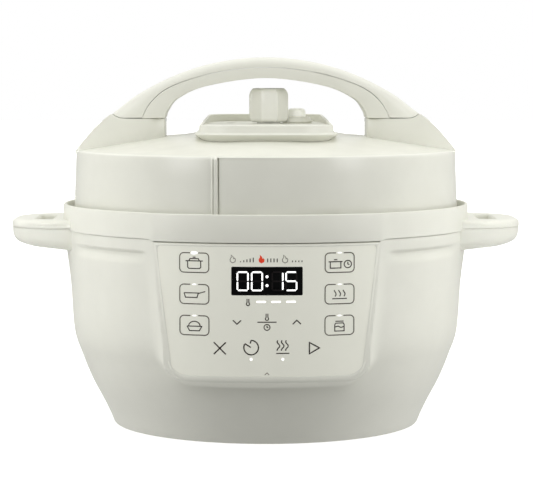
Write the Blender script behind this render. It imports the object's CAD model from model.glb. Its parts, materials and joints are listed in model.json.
import json
import math

import bmesh
import bpy
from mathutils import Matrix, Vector


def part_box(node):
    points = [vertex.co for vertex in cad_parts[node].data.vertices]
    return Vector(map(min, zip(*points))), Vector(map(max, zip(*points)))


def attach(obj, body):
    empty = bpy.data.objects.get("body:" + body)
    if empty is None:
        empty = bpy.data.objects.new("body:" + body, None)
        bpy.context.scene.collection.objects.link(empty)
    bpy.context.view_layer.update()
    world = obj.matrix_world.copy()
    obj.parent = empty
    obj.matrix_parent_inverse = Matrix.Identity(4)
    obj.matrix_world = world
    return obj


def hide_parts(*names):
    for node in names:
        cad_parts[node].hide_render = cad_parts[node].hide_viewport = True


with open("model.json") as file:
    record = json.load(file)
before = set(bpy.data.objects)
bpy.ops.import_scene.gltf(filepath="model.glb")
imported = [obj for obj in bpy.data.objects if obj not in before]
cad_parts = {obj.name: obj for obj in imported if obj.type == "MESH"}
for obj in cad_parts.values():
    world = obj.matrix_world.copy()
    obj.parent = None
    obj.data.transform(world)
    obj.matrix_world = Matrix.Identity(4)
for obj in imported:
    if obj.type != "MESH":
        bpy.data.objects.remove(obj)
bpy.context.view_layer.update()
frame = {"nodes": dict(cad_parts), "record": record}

# The electric pressure cooker's looks. Lengths are millimetres, +Z up, the front faces -Y, and the lid turns
# on X = Y = 0. MM turns them into the frame's metres.
MM = 0.001

# ---------------------------------------------------------------- dimensions
FRONT_Y = (-150, -95)  # a cutter between these reaches through the whole front
FACE_CENTRE_Y = 28
FACE_LOW_Z, FACE_TOP_Z = 44, 133.2
FACE_LOW_R, FACE_TOP_R = 162.4, 165
PANEL = {"top_half": 72.3, "top_z": 133.2, "low_half": 62, "low_z": 44, "corner": 14, "top_corner": 1.2}
OVERLAY = {"top_half": 69.5, "top_z": 131.4, "low_half": 62.3, "low_z": 49, "corner": 13, "top_corner": 3}
PRINT_DEPTH = 0.12  # the overlay lies this far behind the frame's face
INK = 0.06  # the print stands this far out of the overlay
LIP = 0.5  # the housing laps this far over the edge of the panel frame
DISPLAY = (-22.5, 22.5, 100.35, 118.55)
DISPLAY_Z = 109.4
KEY_X, KEY_ROWS = 45.9, (120.7, 100.7, 80.8)
KEY_HALF_X, KEY_HALF_Z = 9.25, 6.2
WALL = 2.5
BAND_R, HOUSING_TOP_Z = 138, 134.2
BOWL_SWEEP = [(107.4, 6.6), (111.9, 16), (120.2, 32), (127, 49), (131.9, 65), (134.3, 98), (137.9, 127.2)]
GROOVE_X = (75, 86, 120, 129)  # the groove under the band grows over the first two and fades over the others
CHIN_BOWL_R = 125.2  # the bowl's radius at the panel's lower edge
FILLET_LOW, FILLET_SIDE = 5, 10  # widths of the hollow round the panel
COLLAR_R, FRONT_HALF, FACET_END_X = 138.8, 73, 79.5
COLLAR_WALL, COLLAR_LOW_Z = 2.4, 134.5
HANDLE_TIP_X, HANDLE_HALF = 173.4, 46
FIN_SLOT = (146, 156)  # X of the slot in a side handle
FIN_SLOT_HALF = 23
SIDE_SCREW_X = 163
CHAMBER_R, POT_R = 114.2, 109
LUGS = 6
LID_R, LID_LOW_Z = 131.5, 146
LID_SCREW_X, LID_SCREW_R = 76, 2.3
LID_HANDLE_HALF, PEDESTAL_TOP_Z = 21, 209
WELL_FLOOR_Z = 186
COVER_FLOOR_Z = 205.4
VALVE_X = 2
BUTTON_AT = (21.3, 5.5)
FLOAT_AT = (-24, 20)
RIB_X = (-35, -30.6)
HANDLE_LOW_Z = 209.3
HANDLE_OUTER = [(0, 250.5), (32, 247.3), (60, 239), (85, 226.6), (102, 214.2), (109, HANDLE_LOW_Z)]
HANDLE_SEAM = [(0, 243.6), (29, 241), (52.5, 235.2), (69, 228), (79, 218.6), (84, HANDLE_LOW_Z)]
HANDLE_INNER = [(0, 236.4), (40, 231), (60, 222.5), (67, 214.2), (68.7, HANDLE_LOW_Z)]


# ---------------------------------------------------------------- outlines
def mix(a, b, t):
    return a + (b - a) * t


def smooth(low, high, value):
    t = min(1, max(0, (value - low) / (high - low)))
    return t * t * (3 - 2 * t)


def curve(points, per=8):
    """A smooth line through the points."""
    out = []
    last = len(points) - 1
    for i in range(last):
        a, b, c, d = (Vector(points[min(max(k, 0), last)]) for k in (i - 1, i, i + 1, i + 2))
        for k in range(per):
            t = k / per
            bend, twist = 2 * a - 5 * b + 4 * c - d, 3 * b - a - 3 * c + d
            out.append(0.5 * (2 * b + (c - a) * t + bend * t**2 + twist * t**3))
    return out + [Vector(points[-1])]


def rounded(corners, closed=True, steps=5):
    """Corners (x, y, radius) with their radii put in."""
    out = []
    for i, (x, y, radius) in enumerate(corners):
        here = Vector((x, y))
        if not radius or (not closed and i in (0, len(corners) - 1)):
            out.append(here)
            continue
        back = Vector(corners[i - 1][:2]) - here
        ahead = Vector(corners[(i + 1) % len(corners)][:2]) - here
        half = back.angle(ahead) / 2
        reach = min(radius / math.tan(half), back.length * 0.499, ahead.length * 0.499)
        size = reach * math.tan(half)
        centre = here + (back.normalized() + ahead.normalized()).normalized() * (size / math.sin(half))
        a, b = here + back.normalized() * reach - centre, here + ahead.normalized() * reach - centre
        sweep = a.angle(b)
        for k in range(steps + 1):
            t = k / steps
            out.append(centre + (a * math.sin((1 - t) * sweep) + b * math.sin(t * sweep)) / math.sin(sweep))
    return out


def rectangle(x0, x1, y0, y1, radius, steps=6):
    return rounded([(x0, y0, radius), (x1, y0, radius), (x1, y1, radius), (x0, y1, radius)], steps=steps)


def inset(outline, distance):
    """The outline moved inward by some distance."""
    count = len(outline)
    area = sum(outline[i - 1].cross(p) for i, p in enumerate(outline))
    side = 1 if area > 0 else -1
    out = []
    for i, p in enumerate(outline):
        before = (p - outline[i - 1]).normalized()
        after = (outline[(i + 1) % count] - p).normalized()
        normal = Vector((-before.y - after.y, before.x + after.x)) * side
        out.append(p + normal * (2 * distance / max(normal.length_squared, 0.8)))
    return out


def arc(x, y, radius, start, end, steps):
    """Points on a circle, angles in degrees."""
    turns = [math.radians(mix(start, end, k / steps)) for k in range(steps + 1)]
    return [Vector((x + radius * math.cos(a), y + radius * math.sin(a))) for a in turns]


# ---------------------------------------------------------------- solids
def shape(rings, loop=False):
    """A closed solid from a stack of rings of points. A ring of one point closes to a tip."""
    points, faces, rows = [], [], []
    for ring in rings:
        rows.append(list(range(len(points), len(points) + len(ring))))
        points += [Vector(p) * MM for p in ring]
    for a, b in list(zip(rows, rows[1:])) + ([(rows[-1], rows[0])] if loop else []):
        for i in range(max(len(a), len(b))):
            j = (i + 1) % max(len(a), len(b))
            corners = [a[i % len(a)], a[j % len(a)], b[j % len(b)], b[i % len(b)]]
            faces.append(list(dict.fromkeys(corners)))
    if not loop:
        faces += [row for row in (rows[0], rows[-1]) if len(row) > 2]
    mesh = bpy.data.meshes.new("shape")
    mesh.from_pydata(points, [], faces)
    obj = bpy.data.objects.new("shape", mesh)
    bpy.context.scene.collection.objects.link(obj)
    shade(obj, 30)
    return obj


def shade(obj, crease):
    """Smooth faces, with the edges sharper than the crease angle left sharp."""
    work = bmesh.new()
    work.from_mesh(obj.data)
    bmesh.ops.remove_doubles(work, verts=work.verts, dist=1e-6)
    bmesh.ops.recalc_face_normals(work, faces=work.faces)
    for face in work.faces:
        face.smooth = True
    for edge in work.edges:
        edge.smooth = edge.calc_face_angle(0) < math.radians(crease)
    work.to_mesh(obj.data)
    work.free()


def settled(obj):
    """The object with its modifiers made part of its mesh."""
    graph = bpy.context.evaluated_depsgraph_get()
    mesh = bpy.data.meshes.new_from_object(obj.evaluated_get(graph))
    obj.modifiers.clear()
    obj.data = mesh
    return obj


def combined(obj, how, tools):
    for tool in tools:
        step = obj.modifiers.new("combine", "BOOLEAN")
        step.operation, step.solver, step.object = how, "EXACT", tool
    settled(obj)
    for tool in tools:
        bpy.data.objects.remove(tool)
    return obj


def cut(obj, *tools):
    return combined(obj, "DIFFERENCE", tools)


def joined(obj, *tools):
    return combined(obj, "UNION", tools)


def shared(obj, *tools):
    return combined(obj, "INTERSECT", tools)


def eased(obj, width, steps=2, angle=40):
    """Small round-overs on the edges sharper than the angle."""
    ease = obj.modifiers.new("ease", "BEVEL")
    ease.width, ease.segments, ease.limit_method = width * MM, steps, "ANGLE"
    ease.angle_limit = math.radians(angle)
    return settled(obj)


def height(z, x, y):
    return z(x, y) if callable(z) else z


def stack(outline, levels):
    """Rings of a flat outline, each (inset, z); z may depend on x and y."""
    return [[(p.x, p.y, height(z, p.x, p.y)) for p in inset(outline, d)] for d, z in levels]


def frontal(outline, levels):
    """Rings of an (x, z) outline, each (inset, y)."""
    return [[(p.x, y, p.y) for p in inset(outline, d)] for d, y in levels]


def block(x0, x1, y0, y1, z0, z1):
    return shape(stack(rectangle(x0, x1, y0, y1, 0), [(0, z0), (0, z1)]))


def turned(profile, steps=160, at=(0, 0)):
    """A turned solid; the profile (r, z) is a closed outline, or starts and ends on the axis."""
    rings = []
    for r, z in profile:
        if r < 1e-6:
            rings.append([(at[0], at[1], z)])
            continue
        rings.append([(p.x, p.y, z) for p in arc(*at, r, 0, 360 - 360 / steps, steps - 1)])
    return shape(rings, loop=len(rings[0]) > 1)


def rod(r, z0, z1, x=0, y=0, steps=48):
    return turned([(0, z0), (r, z0), (r, z1), (0, z1)], steps, (x, y))


def mirrored(obj):
    for v in obj.data.vertices:
        v.co.x = -v.co.x
    shade(obj, 30)
    return obj


def place(name, obj, finish, body, replaces=(), crease=30):
    """Makes a solid a named piece: its material, its body and what it stands for."""
    shade(obj, crease)
    obj.name = obj.data.name = name
    obj.data.materials.clear()
    obj.data.materials.append(finish)
    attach(obj, body)
    for node in replaces:
        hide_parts(node)
    return obj


def merged(objects):
    """Several solids as one piece."""
    work = bmesh.new()
    for obj in objects:
        work.from_mesh(obj.data)
    first = objects[0]
    work.to_mesh(first.data)
    work.free()
    for obj in objects[1:]:
        bpy.data.objects.remove(obj)
    return first


# ---------------------------------------------------------------- materials
def material(name, dark, light, rough, spread=0.05, scale=60, stretch=(1, 1, 1), bump=0.02, fine=900, glow=0,
             **sockets):
    """A surface whose colour, roughness and grain come from noise between two close tones."""
    made = bpy.data.materials.new(name)
    made.use_nodes = True
    nodes, links = made.node_tree.nodes, made.node_tree.links
    surface = nodes["Principled BSDF"]
    where = nodes.new("ShaderNodeTexCoord")
    place_at = nodes.new("ShaderNodeMapping")
    place_at.inputs["Scale"].default_value = stretch
    links.new(where.outputs["Object"], place_at.inputs["Vector"])
    mottle = nodes.new("ShaderNodeTexNoise")
    mottle.inputs["Scale"].default_value = scale
    mottle.inputs["Detail"].default_value = 4
    links.new(place_at.outputs["Vector"], mottle.inputs["Vector"])
    ramp = nodes.new("ShaderNodeValToRGB")
    ramp.color_ramp.elements[0].position, ramp.color_ramp.elements[1].position = 0.3, 0.7
    ramp.color_ramp.elements[0].color = (*dark, 1)
    ramp.color_ramp.elements[1].color = (*light, 1)
    links.new(mottle.outputs["Fac"], ramp.inputs["Fac"])
    links.new(ramp.outputs["Color"], surface.inputs["Base Color"])
    span = nodes.new("ShaderNodeMapRange")
    span.inputs["To Min"].default_value, span.inputs["To Max"].default_value = rough - spread, rough + spread
    links.new(mottle.outputs["Fac"], span.inputs["Value"])
    links.new(span.outputs["Result"], surface.inputs["Roughness"])
    if bump:
        grain = nodes.new("ShaderNodeTexNoise")
        grain.inputs["Scale"].default_value = fine
        links.new(place_at.outputs["Vector"], grain.inputs["Vector"])
        relief = nodes.new("ShaderNodeBump")
        relief.inputs["Strength"].default_value = bump
        relief.inputs["Distance"].default_value = 0.0002
        links.new(grain.outputs["Fac"], relief.inputs["Height"])
        links.new(relief.outputs["Normal"], surface.inputs["Normal"])
    if glow:
        links.new(ramp.outputs["Color"], surface.inputs["Emission Color"])
        surface.inputs["Emission Strength"].default_value = glow
    for socket, value in sockets.items():
        surface.inputs[socket.replace("_", " ")].default_value = value
    return made


SHELL_TONES = (0.765, 0.765, 0.685), (0.785, 0.785, 0.705)
PRINTED = {"rough": 0.6, "bump": 0, "Specular_IOR_Level": 0.2}
LENS_LIKE = {"bump": 0, "Specular_IOR_Level": 0.1}
GLOWING = {"rough": 0.5, "bump": 0, "scale": 400}

SHELL = material("satin_shell", *SHELL_TONES, 0.4, bump=0.03)
LID = material("lid_gloss", *SHELL_TONES, 0.24, 0.03, bump=0.02)
KNOB = material("knob_shell", (0.84, 0.84, 0.775), (0.86, 0.86, 0.795), 0.25, bump=0.02, glow=0.05)
BUTTON = material("button_shell", (0.93, 0.93, 0.87), (0.95, 0.95, 0.89), 0.3, bump=0.02, glow=0.16)
MATT = material("overlay_film", (0.84, 0.84, 0.745), (0.855, 0.855, 0.76), 0.6, bump=0.03, glow=0.085,
                Specular_IOR_Level=0.25)
LENS = material("black_lens", (0.003, 0.003, 0.003), (0.005, 0.005, 0.005), 0.35, **LENS_LIKE)
UNLIT = material("unlit_segment", (0.012, 0.01, 0.01), (0.016, 0.013, 0.013), 0.5, **LENS_LIKE)
PRINT = material("dark_print", (0.03, 0.022, 0.018), (0.045, 0.034, 0.028), **PRINTED)
OUTLINE = material("outline_print", (0.09, 0.078, 0.062), (0.115, 0.1, 0.08), **PRINTED)
GREY_PRINT = material("grey_print", (0.25, 0.235, 0.2), (0.29, 0.27, 0.235), **PRINTED)
LIT = material("lit_white", (0.95, 0.95, 0.92), (1, 1, 0.98), glow=1.0, **GLOWING)
LAMP = material("lamp_white", (0.95, 0.95, 0.93), (1, 1, 0.98), glow=0.8, **GLOWING)
FLAME = material("flame_red", (0.55, 0.035, 0.012), (0.68, 0.06, 0.02), glow=0.35, **GLOWING | {"scale": 500})
STEEL = material("brushed_steel", (0.5, 0.5, 0.5), (0.62, 0.62, 0.62), 0.26, 0.06, 30, (1, 1, 30), 0.12, 400,
                 Metallic=1)
CAST = material("cast_aluminium", (0.4, 0.4, 0.41), (0.55, 0.55, 0.56), 0.45, 0.1, 120, bump=0.15, fine=700,
                Metallic=1)
SOFT = material("silicone_white", (0.7, 0.69, 0.63), (0.76, 0.75, 0.7), 0.5, bump=0.03, Subsurface_Weight=0.1)
DARK = material("black_plastic", (0.014, 0.014, 0.015), (0.024, 0.024, 0.026), 0.5, bump=0.08)
BOARD = material("circuit_board", (0.006, 0.05, 0.018), (0.02, 0.12, 0.05), 0.5, 0.1, 300, bump=0.1)
RUBBER = material("foot_rubber", (0.6, 0.6, 0.53), (0.66, 0.66, 0.6), 0.75, bump=0.1)
CLEAR = material("clear_cup", (0.8, 0.82, 0.8), (0.86, 0.88, 0.86), 0.12, 0.03, bump=0.01,
                 Transmission_Weight=0.6)
BY_SLOT = {
    "shell": SHELL, "overlay": MATT, "lens": LENS, "steel": STEEL, "aluminium": CAST, "silicone": SOFT,
    "board": BOARD, "black_plastic": DARK, "foot_rubber": RUBBER, "clear_plastic": CLEAR,
}


def dress_cad_nodes():
    """The CAD pieces shown as they are get the material of their slot."""
    slots = {entry["node"]: entry["material_slot"] for entry in frame["record"]["subparts"]}
    for name, node in frame["nodes"].items():
        node.data.materials.clear()
        node.data.materials.append(BY_SLOT[slots[name]])


# ---------------------------------------------------------------- the front face
def face_radius(z):
    return mix(FACE_LOW_R, FACE_TOP_R, (z - FACE_LOW_Z) / (FACE_TOP_Z - FACE_LOW_Z))


def on_face(x, z, depth):
    """A point some depth behind the curved front face."""
    return (x, FACE_CENTRE_Y - math.sqrt((face_radius(z) - depth) ** 2 - x * x), z)


def panel_outline(spec, less=0):
    """The panel's outline (x, z), with the same number of points whatever its size."""
    low, top = spec["low_half"] - less, spec["top_half"] - less
    low_z, top_z = spec["low_z"] + less, spec["top_z"] - less
    corner, top_corner = spec["corner"] - less, max(0.3, spec["top_corner"] - less)
    corners = [(-low, low_z, corner), (low, low_z, corner)]
    corners += [(top, top_z, top_corner), (-top, top_z, top_corner)]
    steps = 8
    points = rounded(corners, steps=steps)
    out = []
    for k, p in enumerate(points):
        out.append(p)
        if k % (steps + 1) == steps:
            ahead = points[(k + 1) % len(points)]
            out += [p.lerp(ahead, i / 20) for i in range(1, 20)]
    return out


def panel_distance(x, z):
    """How far a point of the front view lies outside the panel."""
    rise = (z - PANEL["low_z"]) / (PANEL["top_z"] - PANEL["low_z"])
    across = mix(PANEL["low_half"], PANEL["top_half"], rise)
    corner = PANEL["corner"]
    qx, qz = abs(x) - across + corner, PANEL["low_z"] + corner - z
    if qx > 0 and qz > 0:
        return math.hypot(qx, qz) - corner
    return max(abs(x) - across, PANEL["low_z"] - z)


def chip(outline, depth=0.0, thick=0.25):
    """A thin flat shape lying on the overlay."""
    return shape([[on_face(p.x, p.y, PRINT_DEPTH + d - depth) for p in outline] for d in (thick, -INK)])


def stroke(points, width=0.55, closed=False, depth=0.0):
    """A printed line of some width along (x, z) points."""
    line = [Vector(p) for p in points]
    dense = []
    pairs = list(zip(line, line[1:])) + ([(line[-1], line[0])] if closed else [])
    for a, b in pairs:
        count = max(1, round((b - a).length / 1.5))
        dense += [a.lerp(b, k / count) for k in range(count)]
    if not closed:
        dense.append(line[-1])
    rings = []
    for i, p in enumerate(dense):
        back = dense[i - 1] if closed or i else None
        ahead = dense[(i + 1) % len(dense)] if closed or i < len(dense) - 1 else None
        before = (p - back).normalized() if back else (ahead - p).normalized()
        after = (ahead - p).normalized() if ahead else before
        normal = Vector((-before.y - after.y, before.x + after.x))
        side = normal * (width / max(normal.length_squared, 1.2))
        left, right = p + side, p - side
        front, rear = PRINT_DEPTH - INK - depth, PRINT_DEPTH + 0.25 - depth
        rings.append([on_face(left.x, left.y, front), on_face(right.x, right.y, front),
                      on_face(right.x, right.y, rear), on_face(left.x, left.y, rear)])
    return shape(rings, loop=closed)


def ellipse(x, z, half_x, half_z, start=0, end=360, steps=20):
    return [Vector((x + p.x * half_x, z + p.y * half_z)) for p in arc(0, 0, 1, start, end, steps)]


# ---------------------------------------------------------------- base
def front_angles():
    """Turn angles, closer together across the front."""
    fine = [-90 + 48 * k / 80 for k in range(-80, 80)]
    rest = [-42 + 264 * k / 132 for k in range(132)]
    return [math.radians(a) for a in fine + rest]


def bowl_radius(x, r, z, reach):
    """The bowl's radius with the groove under its band and the hollow that rises to the panel's edge."""
    grows, grown, fades, gone = GROOVE_X
    ends = smooth(grows, grown, abs(x)) * (1 - smooth(fades, gone, abs(x)))
    r -= 2.6 * smooth(117.5, 124.2, z) * (1 - smooth(124.6, 127.1, z)) * ends
    away = panel_distance(x, z) + LIP
    width = mix(FILLET_LOW, FILLET_SIDE, smooth(42, 62, z))
    if reach is None or away > width:
        return r
    return r + max(0, reach - 0.66) * (1 - max(0, away) / width) ** 2


def bowl_row(r, z):
    """One ring of the outside. Below the panel the hollow goes on as at the panel's lower edge."""
    row = []
    level = max(z, FACE_LOW_Z + 0.5)
    r_at_level = r if z == level else CHIN_BOWL_R
    for a in front_angles():
        ux, uy = math.cos(a), math.sin(a)
        reach = None
        if uy < -0.6:
            face = FACE_CENTRE_Y * uy + math.sqrt(face_radius(level) ** 2 - (FACE_CENTRE_Y * ux) ** 2)
            reach = face - r_at_level
        size = bowl_radius(r * ux, r, z, reach)
        row.append((size * ux, size * uy, z))
    return row


def plain_row(r, z):
    return [(r * math.cos(a), r * math.sin(a), z) for a in front_angles()]


def bowl_levels():
    edge = [(104, 0.5), (104.6, 0.6), (105.3, 1.4)]
    return edge + [(p.x, p.y) for p in curve(BOWL_SWEEP, 24)] + [(BAND_R, 127.6), (BAND_R, HOUSING_TOP_Z)]


def bowl_solid(offset=0.0):
    side = [(r + offset, z) for r, z in bowl_levels()[::3]]
    return turned([(0, 1.2)] + side + [(BAND_R + offset, HOUSING_TOP_Z), (0, HOUSING_TOP_Z)])


def build_housing():
    outer = [bowl_row(r, z) for r, z in bowl_levels()]
    inner = [plain_row(r - WALL, z) for r, z in reversed(bowl_levels()[2::6])]
    top, low = plain_row(BAND_R - WALL, HOUSING_TOP_Z), plain_row(101.5, 1.2)
    housing = shape(outer + [top] + inner + [low], loop=True)
    open_panel = PANEL | {"top_z": 141, "top_half": 73.2}
    window = frontal(panel_outline(open_panel, LIP), [(0, y) for y in FRONT_Y])
    bay = shared(block(-33.4, 33.4, 117.2, 138, 86.8, HOUSING_TOP_Z), bowl_solid(-0.2))
    tunnel = shared(block(-15.5, 15.5, 99, 125, 4.3, 26.2), bowl_solid(-0.2))
    housing = joined(housing, bay, tunnel)
    bay_room = shape(stack(rectangle(-31.8, 31.8, 118.7, 150, 2), [(0, 89.2), (0, 150)]))
    inlet_room = block(-13.8, 13.8, 84, 125, 5.2, 24.6)
    housing = cut(housing, shape(window), bay_room, inlet_room)
    place("housing", housing, SHELL, "base", ["base_housing"], 28)


def collar_outline(less=0.0):
    """The round collar with its wide front arc and the slanted facet at each end of it."""
    round_r, face_r, half = COLLAR_R - less, FACE_TOP_R - less, FRONT_HALF - less
    round_end = math.degrees(math.acos((FACET_END_X - less) / round_r))
    face_end = math.degrees(math.acos(half / face_r))
    side = arc(0, 0, round_r, -round_end, 180 + round_end, 150)
    front = arc(0, FACE_CENTRE_Y, face_r, 180 + face_end, 360 - face_end, 60)
    return side + front


def wall_rings(low):
    wall = [(COLLAR_WALL, low), (0.15, low), (0, low + 0.2), (0, 150.2), (0.25, 150.9), (0.8, 151.2)]
    wall += [(1.6, 151.2), (2.15, 150.9), (COLLAR_WALL, 150.2)]
    return [[(p.x, p.y, z) for p in collar_outline(d)] for d, z in wall]


def build_collar():
    ring = shape(wall_rings(COLLAR_LOW_Z), loop=True)
    front_room = block(-FRONT_HALF - 2, FRONT_HALF + 2, -150, -100, 130, 152)
    front = shared(shape(wall_rings(PANEL["top_z"] + 0.3), loop=True), front_room)
    deck = shape([[(p.x, p.y, z) for p in collar_outline(1)] for z in (COLLAR_LOW_Z, 136.5)])
    deck = cut(deck, rod(115, 130, 140, steps=160))
    plan = rectangle(-HANDLE_TIP_X, HANDLE_TIP_X, -HANDLE_HALF, HANDLE_HALF, 36, 18)
    levels = [(1.2, 135.5), (0.5, 135.6), (0.1, 136), (0, 136.4), (0, 138.4), (0.25, 139.4), (0.9, 140.2)]
    levels += [(1.9, 140.75), (3.2, 141)]
    wings = cut(shape(stack(plan, levels)), shape(stack(collar_outline(1), [(0, 100), (0, 200)])))
    collar = joined(ring, front, deck, wings)
    slots = []
    for side in (-1, 1):
        near, far = sorted(side * x for x in FIN_SLOT)
        flare = [(0, 130), (0, 139.2), (-0.5, 140.2), (-1.7, 141.1), (-1.7, 143)]
        slots.append(shape(stack(rectangle(near, far, -FIN_SLOT_HALF, FIN_SLOT_HALF, 2.5), flare)))
    collar = cut(collar, *slots, rod(3, 130, 140, 0, 129))
    place("collar", collar, SHELL, "base", ["top_collar"], 28)


def under_height(x):
    return 119.2 + 3.4 * smooth(112, 156, x) + 2.2 * smooth(150, 174, x)


def build_handle_unders():
    plan = rectangle(100, HANDLE_TIP_X - 0.2, 0.2 - HANDLE_HALF, HANDLE_HALF - 0.2, 35.8, 18)
    curl = [(12, 0), (7, 0.2), (4.4, 0.8), (2.7, 1.8), (1.5, 3.1), (0.7, 4.8), (0.2, 6.8)]
    for side, name in ((1, "right"), (-1, "left")):
        levels = [(d, lambda x, y, up=up: under_height(x) + up) for d, up in curl] + [(0, 135.42)]
        hull = shape(stack(plan, levels))
        collar_room = shape(stack(collar_outline(-0.05), [(0, 134.3), (0, 150)]))
        slot = shape(stack(rectangle(*FIN_SLOT, -FIN_SLOT_HALF, FIN_SLOT_HALF, 2.5), [(0, 100), (0, 150)]))
        screw = rod(3.6, 100, 129, SIDE_SCREW_X, 0)
        hull = cut(hull, bowl_solid(-0.6), collar_room, slot, screw)
        if side < 0:
            mirrored(hull)
        place(f"handle_under_{name}", hull, SHELL, "base", [f"side_handle_under_{name}"])


def build_base_plate():
    plate = turned([(0, 1.9), (99.5, 1.9), (100.5, 2.6), (100.5, 3.9), (0, 3.9)])
    vents = []
    for x in (-36, -24, -12, 12, 24, 36):
        vents.append(shape(stack(rectangle(x - 2, x + 2, -34, 34, 1.9), [(0, 0), (0, 10)])))
    spots = [node_middle(f"{kind}_{k}") for kind in ("base_screw", "foot") for k in (1, 2, 3, 4)]
    holes = [rod(3.4, 0, 10, x, y, 24) for x, y in spots]
    place("under_plate", cut(plate, *vents, *holes), DARK, "base", ["base_plate"])
    for k in (1, 2, 3, 4):
        x, y = node_middle(f"foot_{k}")
        profile = [(0, 0), (6.6, 0), (7.6, 0.25), (8, 0.8), (8, 1.6), (3, 1.6), (3, 3.6), (0, 3.6)]
        place(f"rubber_foot_{k}", turned(profile, 48, (x, y)), RUBBER, "base", [f"foot_{k}"])


def node_middle(node):
    """The middle of a CAD node in the floor plane, in millimetres."""
    low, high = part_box(node)
    return ((low.x + high.x) / 2 / MM, (low.y + high.y) / 2 / MM)


def build_cup():
    half, near_y, outer_r = 31, 119.5, 141
    plan = [Vector((-half, near_y)), Vector((half, near_y))]
    plan += [Vector((x, math.sqrt(outer_r**2 - x * x))) for x in (half - half * k / 20 for k in range(41))]
    levels = [(2, 90), (0.6, 90.5), (0, 91.6), (0, 123.4), (0.4, 124), (1.4, 124), (1.8, 123.4), (1.8, 93)]
    levels += [(2.6, 91.8)]
    place("cup", shape(stack(plan, levels)), CLEAR, "cup", ["condensation_cup"])


# ---------------------------------------------------------------- controls
def panel_rings(spec, levels):
    """Rings of the panel's outline, each (inset, depth behind the face)."""
    return [[on_face(p.x, p.y, depth) for p in panel_outline(spec, less)] for less, depth in levels]


def domed(outline, centre, steps, depth):
    """Rings that close an outline to its centre and follow the curve of the face."""
    shares = [k / steps for k in range(steps - 1, 0, -1)]
    rings = [[on_face(*centre.lerp(p, share), depth) for p in outline] for share in shares]
    return rings + [[on_face(centre.x, centre.y, depth)]]


def build_panel():
    rounding = [(0, 14), (0, 2.2), (0.15, 1.3), (0.5, 0.68), (0.9, 0.34), (1.4, 0.1), (2.1, 0)]
    recess = [(-0.3, 0), (-0.22, 0.04), (-0.2, 0.12), (-0.2, 1.3)]
    rings = panel_rings(PANEL, rounding) + panel_rings(OVERLAY, recess)
    place("panel_frame", shape(rings), SHELL, "base", ["control_panel_frame"], 40)
    film = panel_rings(OVERLAY, [(-0.19, 1.1), (-0.19, 0.16), (-0.16, PRINT_DEPTH)])
    film += domed(panel_outline(OVERLAY, -0.16), Vector((0, 90)), 10, PRINT_DEPTH)
    opening = frontal(rectangle(*DISPLAY, 0.9), [(0, -150), (0, -120)])
    place("overlay_film", cut(shape(film), shape(opening)), MATT, "base", ["control_overlay"])
    left, right, low, high = DISPLAY
    play = 0.02
    glass = rectangle(left + play, right - play, low + play, high - play, 0.9 - play)
    levels = [(0, 1.1), (0, 0.2), (0.1, PRINT_DEPTH)]
    lens = [[on_face(p.x, p.y, depth) for p in inset(glass, less)] for less, depth in levels]
    lens += domed(inset(glass, 0.1), Vector((0, (low + high) / 2)), 6, PRINT_DEPTH)
    place("display_lens", shape(lens), LENS, "base", ["display_window"])


def segments(x, z, half_x, half_z, wide):
    """The seven segments of one digit, as outlines, a to g."""
    gap = 0.22
    h = wide / 2
    right, left, up = x + half_x - h, x - half_x + h, z + half_z - h

    def lying(level):
        near, far = left + h + gap, right - h - gap
        ends = [(left + gap, level), (near, level + h), (far, level + h), (right - gap, level)]
        return [Vector(p) for p in ends + [(far, level - h), (near, level - h)]]

    def standing(side, low, high):
        bottom, top = low + h + gap, high - h - gap
        ends = [(side, low + gap), (side + h, bottom), (side + h, top), (side, high - gap)]
        return [Vector(p) for p in ends + [(side - h, top), (side - h, bottom)]]

    down = 2 * z - up
    right_pair = [standing(right, z, up), standing(right, down, z)]
    left_pair = [standing(left, down, z), standing(left, z, up)]
    return [lying(up), *right_pair, lying(down), *left_pair, lying(z)]


def build_display():
    lit, unlit = [], []
    shapes = {"0": "abcdef", "1": "bc", "5": "acdfg"}
    raised = 0.05
    for x, digit in ((-15.3, "0"), (-6.3, "0"), (6.6, "1"), (15.3, "5")):
        for name, outline in zip("abcdefg", segments(x, DISPLAY_Z, 3.8, 6.25, 0.98)):
            (lit if name in shapes[digit] else unlit).append(chip(outline, raised))
    lit += [chip(ellipse(0, z, 0.9, 0.9, 0, 342, 19), raised) for z in (112.3, 106.7)]
    place("digits_lit", merged(lit), LIT, "base")
    place("digits_unlit", merged(unlit), UNLIT, "base")


def flame(x, z, size):
    """A flame outline with a tip that leans left."""
    side = [(0, -0.5), (0.36, -0.36), (0.42, -0.05), (0.24, 0.12), (0.16, 0.02), (0.04, 0.3), (-0.22, 0.5)]
    side += [(-0.2, 0.2), (-0.38, -0.05), (-0.34, -0.34)]
    return [Vector((x + 0.85 * a * size, z + b * size)) for a, b in side]


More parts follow.
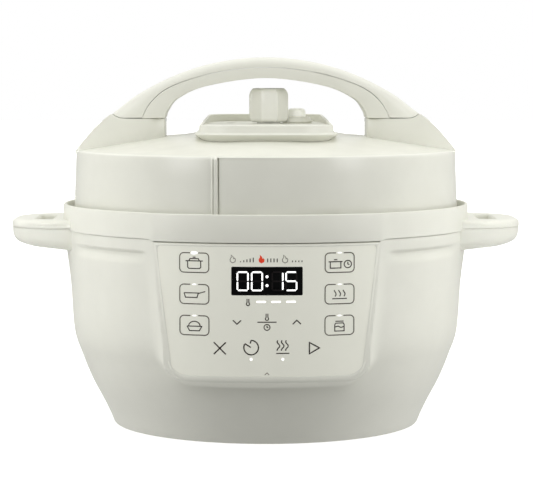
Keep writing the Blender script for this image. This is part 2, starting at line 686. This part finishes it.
def key_icons():
    """A small line drawing for each key, in place of its word."""
    pot = [
        [(-3.2, 1), (-3.2, -2), (-2.6, -2.6), (2.6, -2.6), (3.2, -2), (3.2, 1)],
        [(-4.2, 1.1), (4.2, 1.1)],
        [(-2.6, 1.1), (-2, 2.2), (2, 2.2), (2.6, 1.1)],
        [(-0.7, 2.9), (0.7, 2.9)],
    ]
    pan = [[(-5, 0.8), (-4.3, -1.4), (1.3, -1.4), (2, 0.8), (-5, 0.8)], [(2, 0.6), (5.4, 1.6)]]
    bowl = [
        [(-3.6, -0.2), (-2.4, -2.4), (2.4, -2.4), (3.6, -0.2), (-3.6, -0.2)],
        ellipse(0, -0.1, 2.8, 2.3, 0, 180, 12),
    ]
    slow = [
        [(-4.6, 0.6), (-4.6, -2.4), (0.6, -2.4), (0.6, 0.6)],
        [(-5.4, 0.7), (1.4, 0.7)],
        [(-2.8, 1.7), (-1.2, 1.7)],
        ellipse(4, -0.6, 1.8, 1.8, 0, 360, 16),
        [(4, 0.5), (4, -0.6), (4.8, -0.9)],
    ]
    vapour = [[(x + 0.5 * math.sin(k * 0.9), -0.9 + 0.62 * k) for k in range(6)] for x in (-2.2, 0, 2.2)]
    vapour.append([(-3.6, -2), (3.6, -2)])
    jar = [
        [(-1.9, 1.3), (-2.3, 0.5), (-2.3, -2.6), (2.3, -2.6), (2.3, 0.5), (1.9, 1.3), (-1.9, 1.3)],
        [(-2, 2.2), (2, 2.2)],
        [(-2.2, -0.6), (-0.7, -0.2), (0.7, -0.9), (2.2, -0.5)],
    ]
    return [pot, pan, bowl, slow, vapour, jar]


def small_icons():
    """The signs beside the flames, the bars and the arrows, with their places."""
    gauge = [[(x, 1.5), (x, -0.5)] for x in (-0.45, 0.45)] + [ellipse(0, -1.1, 0.8, 0.8, 130, 410, 12)]
    clock = [ellipse(0, 0, 1.5, 1.5, 0, 360, 16), [(0, 0.9), (0, 0), (0.7, -0.2)]]
    rising = [[(-3.2 + 1.6 * k, -0.9), (-3.2 + 1.6 * k, -0.4 + 0.45 * k)] for k in range(5)]
    even = [[(-2.4 + 1.6 * k, -0.9), (-2.4 + 1.6 * k, 1)] for k in range(4)]
    low = [[(-2.4 + 1.6 * k, -0.9), (-2.4 + 1.6 * k, -0.1)] for k in range(4)]
    beside_flames = [(rising, -12.6, 122.6), (even, 3.4, 122.6), (low, 19, 122.6)]
    return beside_flames + [(gauge, -12, 96.4), (gauge, 0, 87), (clock, 0, 80.2)]


def drawn(lines, x, z, size, width):
    """A sign's lines at some place and size."""
    return [stroke([(x + size * a, z + size * b) for a, b in line], width) for line in lines]


def bottom_signs():
    """Cancel, timer, keep warm and start."""
    signs = [stroke([(-33.6, 62.8), (-26, 70.4)], 0.8), stroke([(-33.6, 70.4), (-26, 62.8)], 0.8)]
    signs.append(stroke(ellipse(-10, 67.3, 4.6, 4.6, 152, 450, 40), 0.78))
    signs += [stroke([(-14, 69.8), (-10.2, 67.4)], 0.78), stroke([(-10, 71.9), (-10.6, 69.9)], 0.78)]
    for x in (7.2, 9.9, 12.6):
        wave = [(x - 0.8 * math.sin(k * 0.3 + 0.5), 71.9 - 6.6 * k / 26) for k in range(27)]
        signs.append(stroke(wave, 0.7))
    signs.append(stroke([(5.8, 63.6), (14.1, 63.6)], 0.65))
    signs.append(stroke([(26.8, 63.1), (26.8, 70.3), (33.2, 66.7)], 0.8, closed=True))
    return signs


def build_graphics():
    keys, dark, lamps = [], [], []
    places = [(side * KEY_X, z) for side in (-1, 1) for z in KEY_ROWS]
    for (x, z), icon in zip(places, key_icons()):
        top = z + KEY_HALF_Z
        ring = rectangle(x - KEY_HALF_X, x + KEY_HALF_X, z - KEY_HALF_Z, top, 2.6, 5)
        around = ring[18:24] + ring[0:18]
        keys.append(stroke([(x - 2.5, top)] + around + [(x + 2.5, top)], 0.62))
        chosen = x < 0 and z == KEY_ROWS[0]
        lamps.append(chip(ellipse(x, top, *((2.2, 0.95) if chosen else (1.4, 0.42)), 0, 345, 23)))
        dark += drawn(icon, x, z - 0.3, 1.3, 0.62)
    for icon, x, z in small_icons():
        dark += drawn(icon, x, z, 1.25, 0.6)
    pale = [stroke(flame(x, 123.5, 5), 0.45, closed=True) for x in (-21.6, 11.3)]
    dark.append(stroke([(-21.5, 84.6), (-18.9, 82.1), (-16.3, 84.6)], 0.7))
    dark.append(stroke([(16.2, 82.1), (18.8, 84.6), (21.4, 82.1)], 0.7))
    dark.append(stroke([(-6, 83.5), (6, 83.5)], 0.65))
    dark += bottom_signs()
    bars = [chip(rectangle(x - 3, x + 3, 95.8, 97, 0.5, 4)) for x in (-3.7, 5.7, 15.1)]
    lamps += [chip(ellipse(x, 59.8, 0.9, 0.9, 0, 345, 23)) for x in (-10, 10)]
    mark = [stroke([(-1.4, 49.9), (0, 51.2), (1.4, 49.9)], 0.5)]
    place("key_outlines", merged(keys), OUTLINE, "base")
    place("dark_signs", merged(dark), PRINT, "base")
    place("flame_outlines", merged(pale), GREY_PRINT, "base")
    place("flame_lit", chip(flame(-3.5, 123.5, 5.4)), FLAME, "base")
    place("light_bars", merged(bars), LIT, "base")
    place("key_lamps", merged(lamps), LAMP, "base")
    place("sensor_mark", merged(mark), GREY_PRINT, "base")


# ---------------------------------------------------------------- heating and pot
def round_tabs(r0, r1, z0, z1, width):
    """Lugs standing out from a ring, with eased edges."""
    tabs = []
    for k in range(LUGS):
        middle = 360 / LUGS * k
        outer = arc(0, 0, r1, middle - width / 2, middle + width / 2, 14)
        inner = arc(0, 0, r0, middle + width / 2, middle - width / 2, 14)
        tabs.append(shape(stack(outer + inner, [(0.3, z0), (0, z0 + 0.3), (0, z1 - 0.3), (0.3, z1)])))
    return tabs


def build_pot():
    outside = [(0, 38.3), (60, 38.3), (97, 38.3), (102, 39.2), (106, 42), (108.4, 46), (POT_R, 50)]
    outside.append((POT_R, 141))
    rim = [(109.6, 141.9), (114.6, 141.9), (115.4, 142.2), (115.5, 142.8), (115, 143.3), (114, 143.4)]
    rim += [(109.4, 143.4), (108.3, 143), (107.8, 142)]
    inside = [(107.8, 50), (107.2, 47), (105.4, 44), (102.4, 42), (97, 41.3), (62, 41.3), (60, 41.6), (0, 42)]
    place("cooking_pot", turned(outside + rim + inside), STEEL, "pot", ["inner_pot"])
    wall = [(20, 26.8), (110, 26.8), (113.4, 27.8), (CHAMBER_R, 31), (CHAMBER_R, 136.2), (114.8, 136.8)]
    wall += [(118.6, 136.8), (119, 137.4), (118.6, 138), (114, 138), (113, 137.2), (113, 31.6), (112.4, 29)]
    wall += [(109.6, 28), (20, 28)]
    place("chamber", turned(wall), CAST, "base", ["outer_pot"])
    ring = [(113.2, 138.3), (117, 138.3), (117, 141.1), (116.6, 141.5), (113.6, 141.5), (113.2, 141.1)]
    band = turned(ring)
    ring = joined(band, *round_tabs(116, 122.8, 139.9, 141.5, 26))
    place("locking_ring", ring, STEEL, "base", ["rim_ring"])
    plate = [(12, 28.3), (88, 28.3), (88, 33.6), (80, 37.6), (78.5, 38), (66, 38), (65, 37.2), (63, 37.2)]
    plate += [(62, 38), (44, 38), (43, 37.2), (41, 37.2), (40, 38), (13, 38), (12, 37.4)]
    place("hot_plate", turned(plate), CAST, "base", ["heating_plate"])
    probe = [(0, 16), (3.5, 16), (3.5, 33), (10.2, 33), (10.5, 33.4), (10.5, 36.6), (10, 37.6), (9, 38)]
    probe.append((0, 38))
    place("probe", turned(probe, 64), CAST, "sensor", ["temperature_sensor"])


# ---------------------------------------------------------------- lid
def dome_height(r):
    """The dome's height, with a soft crease round its middle."""
    edge = 187.3 + 0.157 * (129.7 - r)
    return min(edge, 203 - r * r / 1200) - 0.9 * (1 - smooth(66.2, 67.6, r))


def lid_angles():
    """Turn angles, closer together across the rib."""
    spread = [-90 + math.degrees(math.asin(x / 130)) for x in (RIB_X[0] - 0.6 + 0.2 * k for k in range(28))]
    first, last = spread[0], spread[-1]
    before = [mix(-150, first, k / 44) for k in range(44)]
    after = [mix(last, -30, k / 60) for k in range(1, 61)]
    rest = [-30 + 240 * k / 120 for k in range(1, 120)]
    return [math.radians(a) for a in before + spread + after + rest]


def rib(x, y):
    """How far the drum stands out at the rib, and sinks beside it."""
    if y > 0:
        return 0
    low, high = RIB_X
    middle = (low + high) / 2
    raised = 0.9 * smooth(low - 0.3, low + 0.5, x) * (1 - smooth(high - 1.1, high - 0.6, x))
    valley = 0.8 * (1 - smooth(0.25, 0.85, abs(x - middle + 0.7)))
    crack = 1.3 * (1 - smooth(0.2, 0.65, abs(x - high + 0.3)))
    sunk = 0.6 * smooth(high - 0.5, high, x) * (1 - smooth(high, 75, x))
    return raised - valley - crack - sunk


def drum_row(r, z, shaped=True):
    row = []
    for a in lid_angles():
        x, y = r * math.cos(a), r * math.sin(a)
        size = r + (rib(x, y) if shaped else 0)
        row.append((size * math.cos(a), size * math.sin(a), z))
    return row


def pedestal(side):
    """A foot of the lid handle, with a lip that curls up at its outer end."""
    profile = [(68.7, 184, 0), (128.6, 184, 0), (129.1, 187.5, 1), (124.2, 193.6, 8), (117, 202, 8)]
    profile.append((109.4, 209, 3))
    profile += [(105, 212.2, 0), (102.2, 210.5, 2), (99, 209.3, 3), (94.5, 209, 0)]
    outline = rounded(profile + [(68.7, PEDESTAL_TOP_Z, 0)])
    post = shape(frontal(outline, [(0, -LID_HANDLE_HALF), (0, LID_HANDLE_HALF)]))
    facets = []
    for way in (-1, 1):
        wedge = [Vector((x, way * y)) for x, y in ((80, 21.05), (60, 12.2), (60, 30), (80, 30))]
        facets.append(shape(stack(wedge, [(0, 150), (0, 230)])))
    post = eased(cut(post, *facets), 0.7, 3, 50)
    return post if side > 0 else mirrored(post)


def build_lid():
    outer = [drum_row(129.6, LID_LOW_Z, False), drum_row(131.2, LID_LOW_Z, False), drum_row(LID_R, 146.4)]
    outer += [drum_row(mix(LID_R, 129.9, k / 4), mix(146.4, 184.8, k / 4)) for k in range(1, 5)]
    outer += [drum_row(129.75, 185.6), drum_row(129.4, 186.6, False), drum_row(128.3, 187.5, False)]
    radii = [125, 120, 110, 100, 90, 80, 72, 68.2, 67.6, 67.2, 66.9, 66.6, 66.2, 65.6, 60, 50, 40, 34, 25, 15]
    outer += [drum_row(r, dome_height(r), False) for r in radii] + [[(0, 0, dome_height(0))]]
    inside = [[(0, 0, 200)]] + [drum_row(r, dome_height(r) - WALL, False) for r in (40, 80, 125)]
    inside += [drum_row(127, 184.6, False), drum_row(129, 146.2, False)]
    shell = shape(inside + outer)
    well = shape(stack(rectangle(-14, 32, -20, 20, 3), [(0, 184), (0, 199.4)]))
    shell = joined(shell, well, pedestal(1), pedestal(-1))
    room = shape(stack(rectangle(-12, 30, -18, 18, 2), [(0, WELL_FLOOR_Z), (0, 215)]))
    holes = [rod(5, 150, 210, VALVE_X, 0), rod(3.5, 150, 210, *FLOAT_AT)]
    below = turned([(0, 140), (128.9, 140), (126.9, 184.5), (126, 184.9), (0, 183.9)])
    screws = [rod(LID_SCREW_R, 150, 220, LID_SCREW_X * side, 0) for side in (-1, 1)]
    shell = cut(shell, room, *holes, below, *screws)
    posts = [block(8.5, 14.5, y - 1.5, y + 1.5, 185.5, 193) for y in (-12, 12)]
    place("lid_shell", merged([shell, *posts]), LID, "lid", ["lid_cover"], 26)


def build_liner():
    outside = [(124.3, 137), (125.2, 137), (125.5, 137.3), (125.5, 152), (125, 152.5), (104.5, 152.5)]
    outside += [(98, 156), (60, 163.4), (0, 166.5)]
    inside = [(0, 165.3), (60, 162.2), (97.7, 154.9), (104.2, 151.3), (124.3, 151.3)]
    dish = joined(turned(inside + outside), *round_tabs(119.5, 124.9, 137, 139.2, 28))
    dish = cut(dish, rod(4.8, 100, 200, VALVE_X, 0), rod(3.5, 100, 200, *FLOAT_AT))
    place("steel_liner", dish, STEEL, "lid", ["lid_liner"])
    lip = [(108.2, 144.3), (108.6, 143.7), (116.4, 143.7), (117.4, 144), (118.8, 145.8), (119, 146.6)]
    lip += [(119, 150.4), (118.5, 150.9), (116, 150.9), (115.5, 150.4), (115.5, 147.6), (115, 147)]
    lip += [(108.6, 147), (108.2, 146.5)]
    place("gasket", turned(lip), SOFT, "seal_ring", ["sealing_ring"])
    hoop = [(p.x, p.y) for p in arc(121.25, 148.25, 1.24, 0, 345, 23)]
    place("rack_hoop", turned(hoop), STEEL, "lid", ["ring_rack"])


def rim_top(y):
    """The steam cover's rim is low in front and high at the back."""
    return mix(205.8, 210.6, smooth(-34, 27, y))


def build_steam_cover():
    plan = rectangle(-47.4, 47.4, -82, 65, 26, 14)

    def under(x, y):
        return dome_height(math.hypot(x, y)) + 0.15

    def rim(drop):
        return lambda x, y: rim_top(y) - drop

    def flange(x, y):
        return mix(under(x, y), 199.2, 0.5)

    def narrowed(ring):
        return [(x * (1 - 0.1 * smooth(-62, 66, y)), y, z) for x, y, z in ring]

    skirt = [(7.5, 202.9), (7.5, lambda x, y: min(202.8, under(x, y) + 2)), (5.4, under), (4.4, under)]
    skirt += [(2.6, flange), (1.0, 198.4), (0.25, 199.1), (0, 199.6), (0.3, 200), (1.4, 200.3)]
    tier = [(2.3, 200.8), (2.7, 201.6), (3.0, rim(0.9)), (3.2, rim(0.35)), (3.7, rim(0)), (4.7, rim(0))]
    tier += [(5.2, rim(0.3)), (5.0, lambda x, y: max(COVER_FLOOR_Z + 0.02, rim_top(y) - 1.2))]
    tier += [(4.3, COVER_FLOOR_Z), (5.2, COVER_FLOOR_Z - 0.1)]
    cover = shape(stack(plan, skirt) + [narrowed(ring) for ring in stack(plan, tier)])
    cone = [(0, 204), (9.6, 204), (10.2, 205.6), (11, 206.2), (11.1, 206.9), (10.7, 207.5), (8.9, 209.6)]
    cover = joined(cover, turned(cone + [(8.3, 209.9), (0, 209.9)], 64, BUTTON_AT))
    holes = [rod(8.6, 150, 220, VALVE_X, 0), rod(6.6, 150, 220, *BUTTON_AT), rod(3.6, 150, 220, *FLOAT_AT)]
    cover = cut(cover, *holes, rod(14.2, 205.6, 220, VALVE_X, 0))
    place("vent_cover", cover, SHELL, "lid", ["steam_cover"], 30)


def build_valve():
    """The knob is eight-sided with a fine ridge at each corner; the button stands beside it."""
    around = []
    for k in range(8):
        way = math.radians(45 * k - 90)
        out, across = Vector((math.cos(way), math.sin(way))), Vector((-math.sin(way), math.cos(way)))
        around += [(*(out * 12.75 + across * step), 6) for step in (-3, 3)]
        around.append((*(out * 13.25 + across * 6.1), 1.3))
    plan = [p + Vector((VALVE_X, 0)) for p in rounded(around, steps=5)]
    levels = [(3.2, 206.3), (1.6, 206.9), (0.7, 208), (0.25, 209.6), (0.25, 210.2), (0, 210.6), (0, 224.6)]
    levels += [(0.3, 226), (0.9, 227.3), (1.9, 228.4), (2.9, 229), (4, 229.3), (5.5, 229.4)]
    skirt = turned([(5.2, 195), (8, 195), (8, 207), (5.2, 207)], 64, (VALVE_X, 0))
    knob = merged([shape(stack(plan, levels)), skirt])
    place("valve_knob", knob, KNOB, "valve", ["steam_valve"], 40)
    stem = [(0, 194.8), (1.5, 194.8), (1.5, 199.5), (8, 199.5), (8, 201), (6.2, 201)]
    crown = [(6.2, 212.6), (6.0, 213.9), (5.3, 214.9), (4.2, 215.4), (2.5, 215.6), (0, 215.6)]
    button = turned(stem + crown, 64, BUTTON_AT)
    place("release_button", button, BUTTON, "button", ["quick_release_button"])


def handle_line(points):
    """One of the lid handle's curves from end to end."""
    return curve([(-x, z) for x, z in points[:0:-1]] + points, 8)


def end_joint(side):
    """The room the pedestal's top takes, its outer end curling up."""
    profile = [(60, 200, 0), (125, 200, 0), (125, 216, 0), (107.4, 216, 0), (104.6, 212.6, 0)]
    profile += [(102, 210.9, 2), (98.9, 209.65, 3), (94.3, HANDLE_LOW_Z, 0), (60, HANDLE_LOW_Z, 0)]
    room = shape(frontal(rounded(profile), [(0, -30), (0, 30)]))
    return room if side > 0 else mirrored(room)


def build_lid_handle():
    """The crowned top shell, swept from seam to outer curve, and the flat-sided grip below it."""
    over, seam, under = (handle_line(line) for line in (HANDLE_OUTER, HANDLE_SEAM, HANDLE_INNER))
    crown = [(0.0, 20.9), (0.22, 20.8), (0.45, 20.2), (0.65, 19.1), (0.82, 17.4), (0.93, 15.2), (0.985, 12.5)]
    crown.append((1, 9))
    section = [(t, -y) for t, y in crown] + [(t, y) for t, y in crown[::-1]]
    rings = []
    for low, high in zip(seam, over):
        seam_gap = mix(0.12, 0.3, smooth(50, 80, abs(low.x)))
        low = Vector((low.x, max(low.y + seam_gap, HANDLE_LOW_Z - 0.2)))
        rings.append([(mix(low.x, high.x, t), y, mix(low.y, high.y, t)) for t, y in section])
    top = cut(shape(rings), end_joint(1), end_joint(-1))
    place("handle_top", top, SHELL, "lid", ["lid_handle_top"], 50)
    screws = [rod(LID_SCREW_R, 150, 217, LID_SCREW_X * side, 0) for side in (-1, 1)]
    outline = under + [Vector((p.x, p.y - 0.12)) for p in seam[::-1]]
    grip = shape(frontal(outline, [(0, -LID_HANDLE_HALF), (0, LID_HANDLE_HALF)]))
    grip = cut(eased(grip, 0.8, 4, 50), *screws)
    place("handle_grip", grip, SHELL, "lid", ["lid_handle_grip"], 40)


# ---------------------------------------------------------------- studio
def build_stage():
    far = 9000
    floor = block(-far, far, -far, far, -4, 0)
    floor.name = "floor"
    pale = material("pale_floor", (0.9, 0.9, 0.9), (0.93, 0.93, 0.93), 0.8, bump=0, scale=2, glow=0.62)
    floor.data.materials.append(pale)
    floor.visible_diffuse = floor.visible_glossy = False


def build_world():
    """Light that grows from the front to the sides and is strongest above and below; white to the camera."""
    world = bpy.data.worlds.new("studio")
    bpy.context.scene.world = world
    world.use_nodes = True
    nodes, links = world.node_tree.nodes, world.node_tree.links
    where = nodes.new("ShaderNodeTexCoord")
    parts = nodes.new("ShaderNodeSeparateXYZ")
    links.new(where.outputs["Generated"], parts.inputs["Vector"])

    def span(value, from_low, from_high, to_low, to_high):
        step = nodes.new("ShaderNodeMapRange")
        step.interpolation_type = "SMOOTHSTEP"
        step.inputs["From Min"].default_value, step.inputs["From Max"].default_value = from_low, from_high
        step.inputs["To Min"].default_value, step.inputs["To Max"].default_value = to_low, to_high
        links.new(value, step.inputs["Value"])
        return step.outputs["Result"]

    depth = span(parts.outputs["Y"], -0.85, 0, 0.135, 0.92)
    rise = nodes.new("ShaderNodeMath")
    links.new(span(parts.outputs["Z"], -0.8, -0.1, 1.05, 0.68), rise.inputs[0])
    links.new(span(parts.outputs["Z"], 0, 0.8, 0, 0.85), rise.inputs[1])
    both = nodes.new("ShaderNodeMath")
    both.operation = "MULTIPLY"
    links.new(depth, both.inputs[0])
    links.new(rise.outputs["Value"], both.inputs[1])
    light = nodes["Background"]
    light.inputs["Color"].default_value = (1, 1, 0.985, 1)
    links.new(both.outputs["Value"], light.inputs["Strength"])
    white = nodes.new("ShaderNodeBackground")
    white.inputs["Color"].default_value = (1, 1, 1, 1)
    path = nodes.new("ShaderNodeLightPath")
    blend = nodes.new("ShaderNodeMixShader")
    links.new(path.outputs["Is Camera Ray"], blend.inputs["Fac"])
    links.new(light.outputs["Background"], blend.inputs[1])
    links.new(white.outputs["Background"], blend.inputs[2])
    links.new(blend.outputs["Shader"], nodes["World Output"].inputs["Surface"])


def build_lights():
    """Softboxes in pairs: high for the lid, low for the bowl, and narrow beams for the side handles."""
    for name, place_at, aim_at, size, spread, power in (
        ("high", (0.4, -0.4, 0.42), (0, 0, 0.15), (0.2, 0.45), 180, 1.1),
        ("low", (0.44, -0.3, 0.02), (0, 0, 0.08), (0.3, 0.2), 180, 0.34),
        ("handle", (0.23, -0.6, 0.1), (0.165, 0, 0.12), (0.09, 0.09), 24, 0.019),
    ):
        for side in (-1, 1):
            lamp = bpy.data.lights.new(f"{name}_softbox", "AREA")
            lamp.shape, (lamp.size, lamp.size_y), lamp.energy = "RECTANGLE", size, power
            lamp.spread = math.radians(spread)
            holder = bpy.data.objects.new(f"{name}_softbox", lamp)
            holder.location = (side * place_at[0], *place_at[1:])
            holder.visible_camera = False
            aim = Vector((side * aim_at[0], *aim_at[1:])) - holder.location
            holder.rotation_euler = aim.to_track_quat("-Z", "Y").to_euler()
            bpy.context.scene.collection.objects.link(holder)


def build_camera():
    lens = bpy.data.cameras.new("camera")
    lens.lens, lens.sensor_width = 144.1, 36
    lens.clip_end = 60
    holder = bpy.data.objects.new("camera", lens)
    holder.location = (-0.0087, -1.470, 0.2404)
    holder.rotation_euler = (math.radians(90 - 4.78), 0, math.radians(-0.36))
    bpy.context.scene.collection.objects.link(holder)
    bpy.context.scene.camera = holder
    bpy.context.scene.view_settings.view_transform = "Standard"


dress_cad_nodes()
build_housing()
build_collar()
build_handle_unders()
build_base_plate()
build_cup()
build_panel()
build_display()
build_graphics()
build_pot()
build_lid()
build_liner()
build_steam_cover()
build_valve()
build_lid_handle()
build_stage()
build_world()
build_lights()
build_camera()
